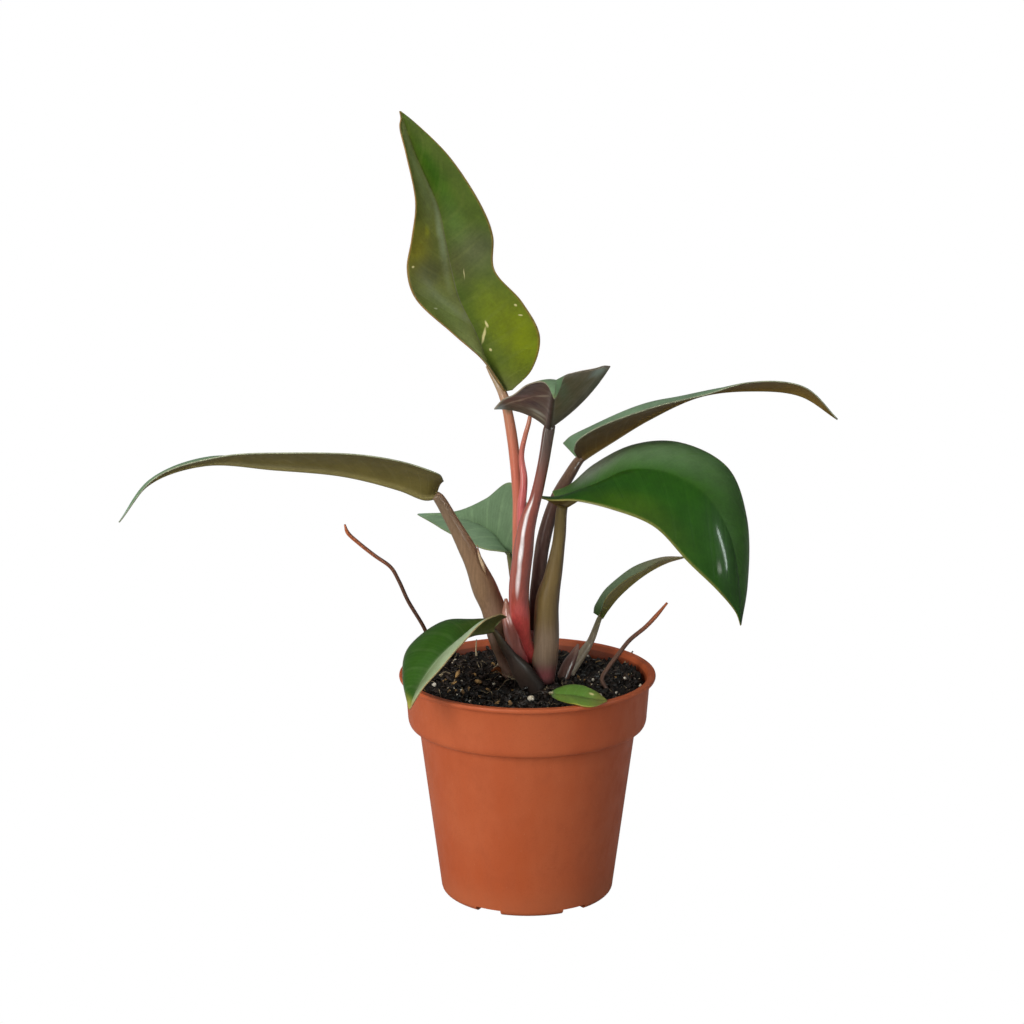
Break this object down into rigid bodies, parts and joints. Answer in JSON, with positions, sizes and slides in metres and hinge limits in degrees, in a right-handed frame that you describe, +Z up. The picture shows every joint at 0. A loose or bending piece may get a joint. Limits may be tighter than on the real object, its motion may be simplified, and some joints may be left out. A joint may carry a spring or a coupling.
{
  "type": "potted pink birkin philodendron",
  "caption": "Young pink birkin philodendron with long pointed leaves on thick stalks, growing in a round moulded plastic nursery pot filled with soil.",
  "frame": {"origin": "centre of the disc foot under the pot, on the surface that the pot stands on", "axes": "+Z up along the pot's axis, +X to the side of the broad glossy leaf, -Y to the side that the young leaf points to"},
  "size_m": [0.2881, 0.1703, 0.3202],
  "materials": {
    "pot_plastic": "matte moulded polypropylene, terracotta orange",
    "potting_soil": "damp black peat mix with perlite, bark and root fibres",
    "tall_leaf": "satin olive and yellow-green leaf with small cream flecks",
    "young_leaf": "satin purple-brown underside with paler streaks",
    "folded_leaf": "matte olive-brown underside with pale streaks",
    "glossy_leaf": "glossy deep green leaf with a thin brown margin",
    "bluish_leaf": "satin bluish green leaf with pale veins",
    "salmon_stalk": "smooth glossy salmon-pink leaf stalk",
    "red_stalk": "very glossy reddish-brown leaf stalk, crimson at its foot",
    "dark_stalk": "satin dark purplish-brown stalk",
    "olive_stalk": "satin olive-brown leaf stalk",
    "taupe_stalk": "satin taupe leaf stalk with a pink edge",
    "pink_spear": "glossy pink rolled new leaf",
    "sheath": "papery brownish-pink sheath leaf",
    "aerial_root": "dry brown root, orange at its tip"
  },
  "bodies": {
    "root": {"pot": "pot_plastic", "soil": "potting_soil", "stem": "dark_stalk", "blade_tall": "tall_leaf", "petiole_tall": "salmon_stalk", "blade_young": "young_leaf", "petiole_young": "red_stalk", "blade_arching": "folded_leaf", "petiole_arching": "dark_stalk", "blade_broad": "glossy_leaf", "petiole_broad": "olive_stalk", "blade_long": "folded_leaf", "petiole_long": "taupe_stalk", "blade_front": "glossy_leaf", "petiole_front": "dark_stalk", "blade_rear": "bluish_leaf", "petiole_rear": "olive_stalk", "blade_small": "folded_leaf", "petiole_small": "olive_stalk", "blade_seedling": "glossy_leaf", "petiole_seedling": "olive_stalk", "spear": "pink_spear", "cataphyll": "sheath", "cataphyll_dry": "sheath", "root_right": "aerial_root", "root_left": "aerial_root"}
  },
  "joints": []
}
